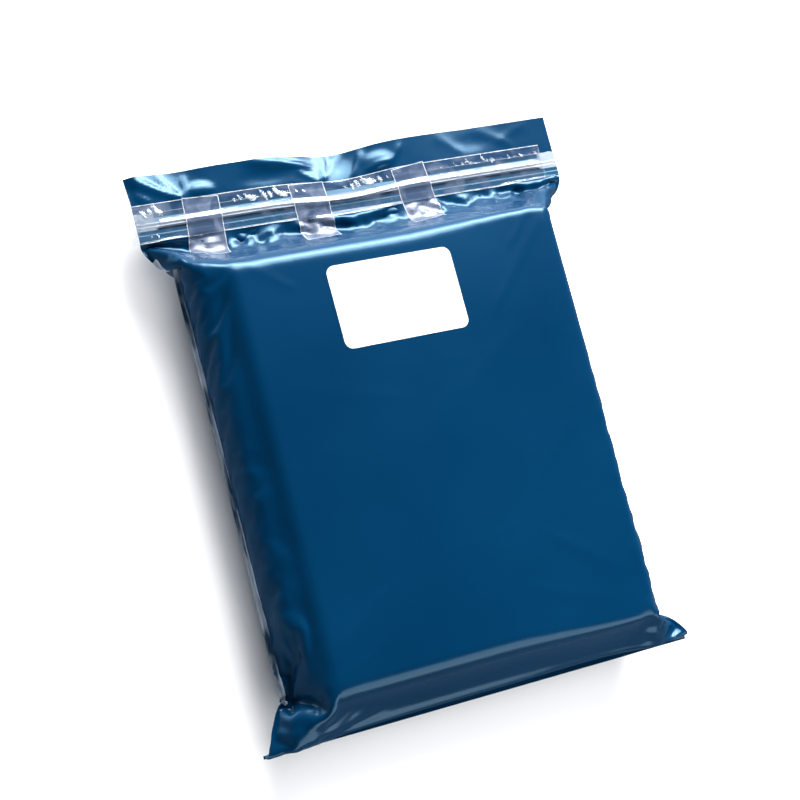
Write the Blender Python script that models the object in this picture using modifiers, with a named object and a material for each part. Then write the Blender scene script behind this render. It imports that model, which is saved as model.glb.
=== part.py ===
"""A filled and sealed poly mailer, lying on its back with its address label up.

The mailer is a flat film pouch, pulled round a soft block of goods. Its two side seams and its
bottom seam sit halfway up the block. Past the block the mouth is pressed flat into a flap. A press-to-close
zip lies across the flap, under one long clear tape, and three short clear tapes tie the
flap down to the shoulder of the block.

Metres, +Z up. +X is to the right of the label, +Y points at the flap. The floor is z = 0, and the
origin is under the middle of the whole object.
"""

import bmesh
import bpy
from math import cos, pi, sin
from mathutils import Vector

# The pouch, laid flat: 12 x 16 inches
FILM_WIDTH = 0.305
HALF_FLAP = FILM_WIDTH / 2

# The block of goods inside it
GOODS_THICKNESS = 0.060
HALF_FRONT = 0.1157  # half width of the flat front face
HALF_BACK = 0.1245  # half width of the face that it lies on
HALF_SEAM = 0.1327  # half width at the side seams, halfway up
EDGE_ROUND = 0.007  # how far the rounding of a long edge reaches along its faces

# Stations along the length, and the height of the seams
HALF_LENGTH = 0.1844
SHOULDER_TOP = 0.1195  # where the front face turns down towards the flap
FLAP_START = 0.1410  # where the shoulder meets the flap
FOOT_TOP = -0.1650  # where the front face turns down towards the bottom seam
FIN_START = -0.1760  # inner edge of the bottom seam
SEAM_HEIGHT = 0.0300
FIN_HEIGHT = 0.0262  # the bottom seam sits a little lower
PRESSED = 0.0012  # thickness where the two films are pressed together
HALF_FIN = 0.1520  # half width of the bottom seam, out to its corner ears
FIN_TAPER = 0.0060  # how much narrower the bottom seam is at its inner edge

# What is stuck on the pouch
GAP = 0.0003  # clearance between pieces that lie on each other
TAPE_THICKNESS = 0.0003
ZIP_LOW = 0.1418  # lower edge of the zip's flange
ZIP_WIDTH = 0.0180
BEAD_Y = 0.1525  # middle of the zip's bead
BEAD_HALF = 0.0020
BEAD_HEIGHT = 0.0013
TAPE_LOW = 0.1412
TAPE_WIDTH = 0.0245
TAPE_RIGHT = 0.1425  # the serrated end, short of the flap's edge
TAPE_TAIL = 0.0050  # how far the long tape runs past the flap's other edge
TAPE_LIFT = 0.0002  # how far each tape stands off the layer under it, beside the clearance
HUMP_MARGIN = 0.0006  # how much wider than the zip's bead a tape's hump is, on each side
HUMP_RUN = 0.0015  # length of the slope on each side of the hump
CROSS_WIDTH = 0.0245
CROSS_CENTRES = {"cross_tape_left": -0.1080, "cross_tape_middle": -0.0330, "cross_tape_right": 0.0425}
CROSS_RISE = 0.0200  # how far a cross tape climbs the shoulder
CROSS_BEND = 0.0012  # where it bends up, before the flap's start
LABEL_SIZE = (0.0878, 0.0543)
LABEL_CENTRE = (-0.0040, 0.0740)
LABEL_CORNER = 0.0055
LABEL_THICKNESS = 0.0003

# The tail makes the object wider on one side, so the pouch stands off the middle by half of it
POUCH_X = TAPE_TAIL / 2

ALONG_FACE = 9  # points along a long face of a section
ALONG_EDGE = 4  # steps round a rounded edge
ARC_STEPS = 6
CORNER_SHARE = 0.45  # a rounded corner takes at most this share of the shorter face beside it
SHARP_ANGLE = 0.7  # radians: edges that turn more than this stay sharp

# Stations where the film turns from a pressed seam to the full block. Each is a distance from the turn,
# as a share of the turn's run, with how far the section's width and height have grown by then.
FOOT_TURN = ((0.45, (0.62, 0.55)), (0.0, (0.88, 0.86)), (-0.5, (0.97, 0.97)))
SHOULDER_TURN = ((-0.1, (0.99, 0.95)), (0.25, (0.72, 0.72)))
FOOT_FULL = -1.2  # the same share of the run, where the block has its full section
SHOULDER_FULL = -0.5
BLOCK_STATIONS = (-0.075, 0.0, 0.075)


def clear_scene():
    for scene_object in list(bpy.data.objects):
        bpy.data.objects.remove(scene_object, do_unlink=True)


def material(name, colour, roughness, metallic=0.0, alpha=1.0):
    made = bpy.data.materials.new(name)
    made.use_nodes = True
    shader = made.node_tree.nodes["Principled BSDF"]
    shader.inputs["Base Color"].default_value = (*colour, 1.0)
    shader.inputs["Roughness"].default_value = roughness
    shader.inputs["Metallic"].default_value = metallic
    shader.inputs["Alpha"].default_value = alpha
    return made


def add_object(name, data, collection, parent, finish):
    data.materials.append(finish)
    made = bpy.data.objects.new(name, data)
    made.parent = parent
    collection.objects.link(made)
    return made


def rounded_corner(before, corner, after, reach):
    """Points of a quadratic curve that cuts a corner off, from one face to the next."""
    start = corner + (before - corner).normalized() * min(reach, (before - corner).length * CORNER_SHARE)
    end = corner + (after - corner).normalized() * min(reach, (after - corner).length * CORNER_SHARE)
    points = []
    for step in range(ALONG_EDGE + 1):
        t = step / ALONG_EDGE
        points.append(start * (1 - t) ** 2 + corner * 2 * t * (1 - t) + end * t**2)
    return points


def section(y, front, front_z, seam, seam_z, back, back_z, reach):
    """One closed section of the pouch across its length: a six-sided outline with soft long edges.

    The outline runs from the right seam over the front face to the left seam and back underneath.
    """
    corners = {
        "seam_right": Vector((seam, seam_z)),
        "front_right": Vector((front, front_z)),
        "front_left": Vector((-front, front_z)),
        "seam_left": Vector((-seam, seam_z)),
        "back_left": Vector((-back, back_z)),
        "back_right": Vector((back, back_z)),
    }
    outline = [corners["seam_right"]]
    for first, second, seam_after in (
        ("front_right", "front_left", "seam_left"),
        ("back_left", "back_right", "seam_right"),
    ):
        opening = rounded_corner(outline[-1], corners[first], corners[second], reach)
        closing = rounded_corner(corners[first], corners[second], corners[seam_after], reach)
        outline += opening
        for step in range(1, ALONG_FACE):
            outline.append(opening[-1].lerp(closing[0], step / ALONG_FACE))
        outline += closing
        if seam_after == "seam_left":
            outline.append(corners["seam_left"])
    return [Vector((x, y, z)) for x, z in outline]


def pressed_section(y, half, height):
    """A section where the two films lie on each other, as in the flap and the bottom seam."""
    inner = half - PRESSED
    return section(y, inner, height + PRESSED / 2, half, height, inner, height - PRESSED / 2, PRESSED)


def block_section(y):
    return section(y, HALF_FRONT, GOODS_THICKNESS, HALF_SEAM, SEAM_HEIGHT, HALF_BACK, 0.0, EDGE_ROUND)


def between(y, low, high, share):
    """A section part of the way from one section to another, used to soften a turn of the film."""
    across, up = share
    return [Vector((a.x + (b.x - a.x) * across, y, a.z + (b.z - a.z) * up)) for a, b in zip(low, high)]


def mailer_bag(collection, parent, finish):
    """The pouch and its goods, as one solid lofted along Y through unlike sections."""
    fin = pressed_section(FIN_START, HALF_FIN - FIN_TAPER, FIN_HEIGHT)
    block = block_section(0.0)
    flap = pressed_section(FLAP_START, HALF_FLAP, SEAM_HEIGHT)
    foot_run = FIN_START - FOOT_TOP
    shoulder_run = FLAP_START - SHOULDER_TOP
    foot = [between(FOOT_TOP + foot_run * share, fin, block, grown) for share, grown in FOOT_TURN]
    shoulder = [
        between(SHOULDER_TOP + shoulder_run * share, flap, block, grown) for share, grown in SHOULDER_TURN
    ]
    sections = [
        pressed_section(-HALF_LENGTH, HALF_FIN, FIN_HEIGHT),
        fin,
        *foot,
        block_section(FOOT_TOP + foot_run * FOOT_FULL),
        *[block_section(y) for y in BLOCK_STATIONS],
        block_section(SHOULDER_TOP + shoulder_run * SHOULDER_FULL),
        *shoulder,
        flap,
        pressed_section(HALF_LENGTH, HALF_FLAP, SEAM_HEIGHT),
    ]
    shape = bmesh.new()
    rings = [[shape.verts.new(point) for point in outline] for outline in sections]
    count = len(rings[0])
    for ring, following in zip(rings, rings[1:]):
        for i in range(count):
            j = (i + 1) % count
            shape.faces.new((ring[i], ring[j], following[j], following[i]))
    shape.faces.new(rings[0][::-1])
    shape.faces.new(rings[-1])
    bmesh.ops.recalc_face_normals(shape, faces=shape.faces)
    bmesh.ops.triangulate(shape, faces=shape.faces)
    mesh = bpy.data.meshes.new("mailer_bag")
    shape.to_mesh(mesh)
    shape.free()
    bag = add_object("mailer_bag", mesh, collection, parent, finish)
    mesh.shade_smooth()
    mesh.set_sharp_from_angle(angle=SHARP_ANGLE)
    return bag


def bead_outline(base, height):
    """The rounded back of the zip's bead, from its upper side to its lower side."""
    points = []
    for step in range(ARC_STEPS + 1):
        turn = pi * step / ARC_STEPS
        points.append(Vector((BEAD_Y + BEAD_HALF * cos(turn), base + height * sin(turn))))
    return points


def zip_strip(collection, parent, finish):
    """A flat flange with a round-backed bead along it, extruded across the flap."""
    low = SEAM_HEIGHT + PRESSED / 2 + GAP
    top = low + TAPE_THICKNESS
    outline = [Vector((ZIP_LOW, low)), Vector((ZIP_LOW + ZIP_WIDTH, low)), Vector((ZIP_LOW + ZIP_WIDTH, top))]
    outline += bead_outline(top, BEAD_HEIGHT)
    outline.append(Vector((ZIP_LOW, top)))
    curve = bpy.data.curves.new("zip_strip", "CURVE")
    curve.dimensions = "2D"
    curve.fill_mode = "BOTH"
    curve.extrude = HALF_FLAP
    spline = curve.splines.new("POLY")
    spline.points.add(len(outline) - 1)
    for point, place in zip(spline.points, outline):
        point.co = (place.x, place.y, 0.0, 1.0)
    spline.use_cyclic_u = True
    strip = add_object("zip_strip", curve, collection, parent, finish)
    # the outline is drawn in the curve's own plane, and turned so that it runs across the flap
    strip.rotation_euler = (pi / 2, 0.0, pi / 2)
    return strip


def ribbon(name, path, thickness, left, right, collection, parent, finish):
    """A flexible strip: an open surface swept across X from a path in the YZ plane, then thickened."""
    surface = bmesh.new()
    line = [surface.verts.new((left, point.x, point.y)) for point in path]
    edges = [surface.edges.new(pair) for pair in zip(line, line[1:])]
    swept = bmesh.ops.extrude_edge_only(surface, edges=edges)["geom"]
    moved = [item for item in swept if isinstance(item, bmesh.types.BMVert)]
    bmesh.ops.translate(surface, verts=moved, vec=(right - left, 0.0, 0.0))
    bmesh.ops.recalc_face_normals(surface, faces=surface.faces)
    mesh = bpy.data.meshes.new(name)
    surface.to_mesh(mesh)
    surface.free()
    strip = add_object(name, mesh, collection, parent, finish)
    solid = strip.modifiers.new("thickness", "SOLIDIFY")
    solid.thickness = thickness
    solid.offset = 0.0
    solid.use_even_offset = True
    return strip


def over_the_zip(level):
    """The path of a tape across the flap at one level of the stack, humped where it crosses the bead."""
    start = TAPE_LOW + TAPE_WIDTH
    rise = BEAD_HEIGHT + TAPE_THICKNESS
    hump = BEAD_HALF + HUMP_MARGIN
    return [
        Vector((start, level)),
        Vector((BEAD_Y + hump + HUMP_RUN, level)),
        Vector((BEAD_Y + hump * 0.5, level + rise)),
        Vector((BEAD_Y - hump * 0.5, level + rise)),
        Vector((BEAD_Y - hump - HUMP_RUN, level)),
    ]


def closure_tape(collection, parent, finish):
    """The long clear tape over the zip, from past the flap's left edge to its serrated end."""
    level = SEAM_HEIGHT + PRESSED / 2 + 2 * GAP + 1.5 * TAPE_THICKNESS + TAPE_LIFT
    path = over_the_zip(level) + [Vector((TAPE_LOW, level))]
    return ribbon(
        "closure_tape", path, TAPE_THICKNESS, -HALF_FLAP - TAPE_TAIL, TAPE_RIGHT, collection, parent, finish
    )


def cross_tape(name, centre, collection, parent, finish):
    """A short clear tape over the long one, that bends up onto the shoulder below the flap."""
    level = SEAM_HEIGHT + PRESSED / 2 + 3 * GAP + 2.5 * TAPE_THICKNESS + 2 * TAPE_LIFT
    foot = Vector((FLAP_START + CROSS_BEND, level))
    slope = Vector((SHOULDER_TOP - FLAP_START, GOODS_THICKNESS - SEAM_HEIGHT)).normalized()
    path = over_the_zip(level) + [foot, foot + slope * CROSS_RISE]
    left = centre - CROSS_WIDTH / 2
    return ribbon(name, path, TAPE_THICKNESS, left, left + CROSS_WIDTH, collection, parent, finish)


def address_label(collection, parent, finish):
    """A blank rounded sticker on the front face."""
    outline = []
    half_width = LABEL_SIZE[0] / 2 - LABEL_CORNER
    half_height = LABEL_SIZE[1] / 2 - LABEL_CORNER
    for quarter, (sign_x, sign_y) in enumerate(((1, 1), (-1, 1), (-1, -1), (1, -1))):
        for step in range(ARC_STEPS + 1):
            turn = (quarter + step / ARC_STEPS) * pi / 2
            x = sign_x * half_width + LABEL_CORNER * cos(turn)
            y = sign_y * half_height + LABEL_CORNER * sin(turn)
            outline.append((x, y))
    curve = bpy.data.curves.new("address_label", "CURVE")
    curve.dimensions = "2D"
    curve.fill_mode = "BOTH"
    curve.extrude = LABEL_THICKNESS / 2
    spline = curve.splines.new("POLY")
    spline.points.add(len(outline) - 1)
    for point, (x, y) in zip(spline.points, outline):
        point.co = (x, y, 0.0, 1.0)
    spline.use_cyclic_u = True
    label = add_object("address_label", curve, collection, parent, finish)
    label.location = (*LABEL_CENTRE, GOODS_THICKNESS + GAP + LABEL_THICKNESS / 2)
    return label


def main():
    clear_scene()
    collection = bpy.data.collections.new("poly_mailer_bag")
    bpy.context.scene.collection.children.link(collection)
    pouch_frame = bpy.data.objects.new("pouch_frame", None)
    pouch_frame.location = (POUCH_X, 0.0, 0.0)
    collection.objects.link(pouch_frame)

    film = material("blue film", (0.0, 0.055, 0.155), 0.22)
    mailer_bag(collection, pouch_frame, film)
    zip_strip(collection, pouch_frame, material("zip plastic", (0.70, 0.78, 0.82), 0.30))
    tape = material("clear tape", (0.80, 0.86, 0.90), 0.15, alpha=0.35)
    closure_tape(collection, pouch_frame, tape)
    for name, centre in CROSS_CENTRES.items():
        cross_tape(name, centre, collection, pouch_frame, tape)
    address_label(collection, pouch_frame, material("label paper", (0.86, 0.86, 0.85), 0.45))


main()
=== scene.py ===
# %% [markdown]
# # A sealed poly mailer
#
# A poly mailer is a flat pouch of thin blue film. Filled with a soft block of goods it turns into a
# parcel: a smooth front, crumpled sides, and a mouth pressed flat into a flap. A press-to-close zip
# crosses the flap under one long clear tape, three short tapes tie the flap down, and a blank label sits
# on the front. This lesson makes that film by simulating it, because film can't stretch, and all its
# creases come from that one fact.
#
# The solids of the part are loaded first. They fix every size: the pieces made here take their places
# from them.

# %% Load the solids and keep their box
import math

import bpy
import numpy as np
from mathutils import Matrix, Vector


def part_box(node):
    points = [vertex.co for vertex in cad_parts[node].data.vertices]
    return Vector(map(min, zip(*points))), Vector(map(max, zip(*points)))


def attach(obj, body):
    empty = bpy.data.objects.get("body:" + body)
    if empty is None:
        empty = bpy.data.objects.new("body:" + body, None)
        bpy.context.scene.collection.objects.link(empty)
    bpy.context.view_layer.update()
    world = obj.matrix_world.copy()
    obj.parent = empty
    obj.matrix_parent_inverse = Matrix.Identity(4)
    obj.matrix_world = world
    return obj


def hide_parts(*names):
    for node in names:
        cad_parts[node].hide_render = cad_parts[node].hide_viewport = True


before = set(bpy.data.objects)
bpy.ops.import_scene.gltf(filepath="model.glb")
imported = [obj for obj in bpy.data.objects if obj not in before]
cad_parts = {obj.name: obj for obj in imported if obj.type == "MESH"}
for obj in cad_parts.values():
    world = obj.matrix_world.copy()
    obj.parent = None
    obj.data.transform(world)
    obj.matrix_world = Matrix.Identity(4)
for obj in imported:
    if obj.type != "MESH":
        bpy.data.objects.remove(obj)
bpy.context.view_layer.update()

MM = 0.001
bag_low, bag_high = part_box("mailer_bag")
label_low, label_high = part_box("address_label")
POUCH_X = (bag_low.x + bag_high.x) / 2
FILM_WIDTH = bag_high.x - bag_low.x
HEIGHT = bag_high.z
print("film width", round(FILM_WIDTH / MM, 1), "mm, parcel height", round(HEIGHT / MM, 1), "mm")

# %% [markdown]
# ## The camera
#
# The parcel lies on its back, and the camera looks down on its front from the left of the label. It is
# set by an aim, a direction and a roll, which are easier to read and to change than a rotation matrix.

# %% Place the camera
LENS_MM = 87.75
CAMERA_DISTANCE = 1.226
CAMERA_AZIMUTH = math.radians(-165.7)  # from +X, so the camera is past the parcel's left side
CAMERA_ELEVATION = math.radians(64.26)
CAMERA_ROLL = math.radians(62.37)
AIM = Vector((POUCH_X - 0.0212, 0.0091, HEIGHT))


def place_camera():
    outward = Vector((
        math.cos(CAMERA_AZIMUTH) * math.cos(CAMERA_ELEVATION),
        math.sin(CAMERA_AZIMUTH) * math.cos(CAMERA_ELEVATION),
        math.sin(CAMERA_ELEVATION),
    ))
    data = bpy.data.cameras.new("camera")
    data.lens = LENS_MM
    camera = bpy.data.objects.new("camera", data)
    level = outward.to_track_quat("Z", "Y").to_matrix().to_4x4()
    right = Vector((0, 0, 1)).cross(outward).normalized()
    up = outward.cross(right)
    rolled_right = right * math.cos(CAMERA_ROLL) + up * math.sin(CAMERA_ROLL)
    rolled_up = outward.cross(rolled_right)
    for row in range(3):
        level[row][0], level[row][1], level[row][2] = rolled_right[row], rolled_up[row], outward[row]
    level.translation = AIM + outward * CAMERA_DISTANCE
    camera.matrix_world = level
    bpy.context.scene.collection.objects.link(camera)
    bpy.context.scene.camera = camera
    return camera


camera = place_camera()
print("camera at", [round(c, 3) for c in camera.location])

# %% [markdown]
# ## Floor and light
#
# Glossy film is a mirror for its studio. What it shows is mostly the lamps, so they are placed by what
# each face should reflect: a softbox past the flap for the bright shoulder and the folds of the flap, with
# a narrow bright strip in it for the hottest highlights, and a weaker card past the foot. Nothing hangs
# where the front face would mirror it, and the sky is dark overhead, which keeps the front a deep,
# saturated blue. The steep shoulder mirrors a low glow in the sky past the flap.
#
# One more lamp lights only the floor, through light linking, which keeps the shadow soft. The floor is
# kept out of reflections, so that the sides of the parcel stay dark.

# %% Helpers for lamps and for shader nodes
def add_lamp(name, direction, distance, width, height, watts):
    data = bpy.data.lights.new(name, "AREA")
    data.shape = "RECTANGLE"
    data.size = width
    data.size_y = height
    data.energy = watts
    lamp = bpy.data.objects.new(name, data)
    lamp.location = Vector(direction).normalized() * distance
    lamp.rotation_euler = lamp.location.to_track_quat("Z", "Y").to_euler()
    bpy.context.scene.collection.objects.link(lamp)
    return lamp


def principled(name):
    made = bpy.data.materials.new(name)
    made.use_nodes = True
    return made, made.node_tree.nodes, made.node_tree.links, made.node_tree.nodes["Principled BSDF"]


def remap(nodes, links, value, old, new=(0.0, 1.0)):
    """A node that carries the range old onto the range new, and holds at both ends."""
    made = nodes.new("ShaderNodeMapRange")
    for socket, number in zip(("From Min", "From Max", "To Min", "To Max"), (*old, *new)):
        made.inputs[socket].default_value = number
    links.new(value, made.inputs["Value"])
    return made.outputs["Result"]


def combine(nodes, links, operation, *values):
    """A node of arithmetic. Each value is a socket or a plain number."""
    made = nodes.new("ShaderNodeMath")
    made.operation = operation
    for socket, value in zip(made.inputs, values):
        if isinstance(value, float):
            socket.default_value = value
        else:
            links.new(value, socket)
    return made.outputs[0]


def add_noise(nodes, links, place, scale, detail=2.0):
    made = nodes.new("ShaderNodeTexNoise")
    made.inputs["Scale"].default_value = scale
    made.inputs["Detail"].default_value = detail
    links.new(place, made.inputs["Vector"])
    return made.outputs["Fac"]


def two_tones(nodes, links, mask, low, high, positions=(0.0, 1.0)):
    """A colour between low and high, by a mask."""
    made = nodes.new("ShaderNodeValToRGB")
    for point, position, colour in zip(made.color_ramp.elements, positions, (low, high)):
        point.position = position
        point.color = (*colour, 1)
    links.new(mask, made.inputs["Fac"])
    return made.outputs["Color"]


# %% Build the studio
FLOOR_SIZE = 12.0
SKY_TONE = (0.66, 0.85, 1.0)
HORIZON_GLOW = 0.28
ZENITH_GLOW = 0.02
ZENITH_FROM = 0.8  # heights and directions in the sky are parts of a unit vector
SHOULDER_GLOW = 2.2
GLOW_PAST_FLAP = (0.40, 0.80)
GLOW_FADES_UP = (0.22, 0.02)
LAMPS = {
    # name: (direction from the parcel, distance, width, height, watts)
    "flap_softbox": ((0.40, 0.80, 0.56), 2.20, 2.0, 1.3, 135.0),
    "flap_strip": ((0.40, 0.80, 0.52), 2.15, 1.8, 0.20, 42.0),
    "foot_card": ((0.25, -0.86, 0.60), 2.0, 2.4, 1.2, 30.0),
}
FLOOR_LAMP = ("floor_fill", (0.0, 0.0, 1.0), 2.6, 3.0, 3.0, 60.0)


def floor_material():
    made, nodes, links, shader = principled("studio floor")
    place = nodes.new("ShaderNodeTexCoord").outputs["Generated"]
    patches = add_noise(nodes, links, place, 3.0)
    tone = two_tones(nodes, links, patches, (0.86, 0.86, 0.87), (0.89, 0.89, 0.90))
    links.new(tone, shader.inputs["Base Color"])
    shader.inputs["Roughness"].default_value = 0.7
    return made


def build_sky():
    world = bpy.data.worlds.new("studio")
    bpy.context.scene.world = world
    world.use_nodes = True
    nodes, links = world.node_tree.nodes, world.node_tree.links
    split = nodes.new("ShaderNodeSeparateXYZ")
    links.new(nodes.new("ShaderNodeTexCoord").outputs["Generated"], split.inputs[0])
    fade = remap(nodes, links, split.outputs["Z"], (0.0, ZENITH_FROM), (HORIZON_GLOW, ZENITH_GLOW))
    past_flap = remap(nodes, links, split.outputs["Y"], GLOW_PAST_FLAP, (0.0, SHOULDER_GLOW))
    low_down = remap(nodes, links, split.outputs["Z"], GLOW_FADES_UP)
    strength = combine(nodes, links, "MULTIPLY_ADD", past_flap, low_down, fade)
    nodes["Background"].inputs["Color"].default_value = (*SKY_TONE, 1)
    links.new(strength, nodes["Background"].inputs["Strength"])


def build_floor():
    half = FLOOR_SIZE / 2
    corners = [(-half, -half, 0), (half, -half, 0), (half, half, 0), (-half, half, 0)]
    mesh = bpy.data.meshes.new("floor")
    mesh.from_pydata(corners, [], [(0, 1, 2, 3)])
    mesh.materials.append(floor_material())
    floor = bpy.data.objects.new("floor", mesh)
    bpy.context.scene.collection.objects.link(floor)
    floor.visible_glossy = False
    return floor


build_sky()
bpy.context.scene.view_settings.view_transform = "Standard"
only_floor = bpy.data.collections.new("lit by the floor lamp")
only_floor.objects.link(build_floor())
for name, lamp in LAMPS.items():
    add_lamp(name, *lamp)
add_lamp(*FLOOR_LAMP).light_linking.receiver_collection = only_floor
print("lamps:", ", ".join([*LAMPS, FLOOR_LAMP[0]]))

# %% [markdown]
# ## The film
#
# A pouch can be modelled by hand, but hand-made creases look random. Here the flat pouch is two grids
# of points, front and back, joined along the side seams, the bottom seam and the flap. A soft block grows
# between them. Each round the solver moves pairs of neighbouring points back to the distance at which
# the film was cut, pushes points out of the block and lays them on the floor. The grid starts coarse, so
# that the big shape settles soon, and is refined twice, so that small creases can form.
#
# Points are named by film coordinates: u across the film and v along it, from the bottom seam up.

# %% Sizes of the pouch
FILM_LENGTH = 0.4045  # a 16 inch film, with the flap
FIN = 0.0021  # width of the bottom seam
FLAP = 0.0435
FLAP_Y = 0.1410  # where the flap begins on the filled parcel
FLAP_Z = 0.0303
FIN_Y = bag_low.y + FIN
FIN_Z = 0.0262
SEAM_WIDTH = 0.0022
SEAM_LEFT, SEAM_RIGHT = -0.1362, 0.1332  # where the side seams lie on the filled parcel
SEAM_Z = 0.0295
GOODS_CENTRE = np.array([0.0025, -0.02275, 0.0300])
GOODS_HALF = np.array([0.1230, 0.1422, 0.0297])
GOODS_SPREAD = 0.026  # how much wider than its middle the block is where it lies, and narrower at its front
GOODS_ROUND = 0.013
GOODS_CRISP = 0.55  # how much sharper the edges are at the block's right end, where the goods are folded
CROWN_ACROSS, CROWN_ALONG = 0.05, 0.03  # how much lower the block's faces are at their edges, as a share
CROWN_LEAST = 0.88
SKIN = 0.0003
EAR_REACH = 1.012  # the corner ears are drawn out a little past the film's flat width
SEED = 7
# columns, rows, steps, rounds in a step, resistance to bending and to being squeezed
LEVELS = ((38, 51, 70, 24, 0.12, 0.6), (76, 102, 40, 24, 0.06, 0.8), (152, 204, 44, 20, 0.02, 0.9))
print("flat film", round(FILM_WIDTH / MM, 1), "x", round(FILM_LENGTH / MM, 1), "mm, with the flap")


# %% A soft hill and a soft step
def hill(x, centre, width):
    """1 at the centre, and fading to 0 over about the width on both sides."""
    return np.exp(-(((x - centre) / width) ** 2))


def smooth(low, high, x):
    """0 up to low and 1 from high on. With low above high it falls instead."""
    t = np.clip((x - low) / (high - low), 0, 1)
    return t * t * (3 - 2 * t)


# %% Helpers for a grid of film points
def film_normals(points):
    """The direction out of the film at each point of a grid, for a grid with u to the right and v up."""
    along_u = np.gradient(points, axis=1)
    along_v = np.gradient(points, axis=0)
    normal = np.cross(along_u, along_v)
    return normal / (np.linalg.norm(normal, axis=-1, keepdims=True) + 1e-12)


def refine_along_rows(points):
    """Doubles the rows of a grid. The new points lie on a cubic through their neighbours."""
    rows = points.shape[0]
    finer = np.empty((2 * rows - 1,) + points.shape[1:])
    finer[::2] = points
    padded = np.concatenate([2 * points[:1] - points[1:2], points, 2 * points[-1:] - points[-2:-1]])
    finer[1::2] = (9 * (points[:-1] + points[1:]) - (padded[:-3] + padded[3:])) / 16
    return finer


def refine(points):
    finer = refine_along_rows(points)
    return refine_along_rows(finer.swapaxes(0, 1)).swapaxes(0, 1).copy()


def pull_pairs(points, first, second, length, stretch, squeeze):
    """Moves pairs of points towards their cut distance, by one share if too long, another if too short."""
    a, b = points[first], points[second]
    gap = b - a
    distance = np.sqrt(np.einsum("ijk,ijk->ij", gap, gap)) + 1e-12
    error = 1 - length / distance
    share = np.where(error > 0, stretch, squeeze) * 0.5
    move = gap * (error * share)[..., None]
    points[first] += move
    points[second] -= move


# %% [markdown]
# One round of the solver visits every thread of the grid: along u, along v, along both diagonals, which
# keep the film from shearing, and over two cells, which resist bending. Pairs that share a point must
# not move at the same time, so each family is split into groups that don't touch.


# %% One round of the solver
def relax(points, length_u, length_v, length_diagonal, bend, squeeze):
    rows, columns = points.shape[:2]
    every = slice(None)
    for start in (0, 1):
        near_u, far_u = slice(start, columns - 1, 2), slice(start + 1, columns, 2)
        near_v, far_v = slice(start, rows - 1, 2), slice(start + 1, rows, 2)
        left, right = slice(0, columns - 1), slice(1, columns)
        pull_pairs(points, (every, near_u), (every, far_u), length_u[:, start::2], 1.0, squeeze)
        pull_pairs(points, (near_v, every), (far_v, every), length_v[start::2], 1.0, squeeze)
        pull_pairs(points, (near_v, left), (far_v, right), length_diagonal[start::2], 0.7, squeeze / 2)
        pull_pairs(points, (near_v, right), (far_v, left), length_diagonal[start::2], 0.7, squeeze / 2)
    two_u, two_v = length_u[:, :-1] + length_u[:, 1:], length_v[:-1] + length_v[1:]
    for start in range(4):
        near_u, far_u = slice(start, columns - 2, 4), slice(start + 2, columns, 4)
        near_v, far_v = slice(start, rows - 2, 4), slice(start + 2, rows, 4)
        pull_pairs(points, (every, near_u), (every, far_u), two_u[:, start::4], 0.0, bend)
        pull_pairs(points, (near_v, every), (far_v, every), two_v[start::4], 0.0, bend)


# %% [markdown]
# The goods are a box with rounded edges. A point of the film that is found inside it is moved out by the
# shortest way, which lets the film slide over the goods and never stick to them.


# %% Keep the film off the goods
def keep_off_goods(points, half, rounding, side):
    """Pushes film points out of a rounded block with crowned faces. side is 1 for the front."""
    place = points - GOODS_CENTRE
    crown = 1 - CROWN_ACROSS * (place[..., 0] / half[0]) ** 2 - CROWN_ALONG * (place[..., 1] / half[1]) ** 2
    crown = np.maximum(crown, CROWN_LEAST)
    place[..., 2] /= crown
    spread = 1 + GOODS_SPREAD * np.clip(-place[..., 2] / half[2], -1, 1)
    place[..., 0] /= spread
    rounding = rounding * (1 - GOODS_CRISP * smooth(0.0, 0.9, place[..., 0] / half[0]))
    reach_in = half - rounding[..., None]
    core = np.clip(place, -reach_in, reach_in)
    away = place - core
    reach = np.sqrt(np.einsum("ijk,ijk->ij", away, away))
    inside = (reach < rounding + SKIN) & (reach > 1e-9)
    grow = np.ones_like(reach)
    grow[inside] = (rounding[inside] + SKIN) / reach[inside]
    move = away * (grow - 1)[..., None]
    move[..., 2] *= crown
    move[..., 0] *= spread
    points += move
    deep = reach <= 1e-9
    points[deep, 2] = GOODS_CENTRE[2] + side * (half[2] + SKIN) * crown[deep]


# %% [markdown]
# The seams are a little shorter than the film beside them, because welding shrinks it. That spare
# length is what crumples the sides of a real parcel, so the pattern of lengths has it too. The flap and
# the bottom seam are stiffened by the zip and the weld, and are held near a straight line.


# %% The pattern: how long each thread of film is cut
FLAP_V = FILM_LENGTH - FLAP
SPARE_AT_SIDES = 0.014  # as a share of the film's own length
SPARE_AT_SHOULDER = 0.006
FLAP_SAG, FLAP_SAG_U, FLAP_SAG_WIDTH = 0.0035, -0.008, 0.03  # the flap's line dips towards the goods here


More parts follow.
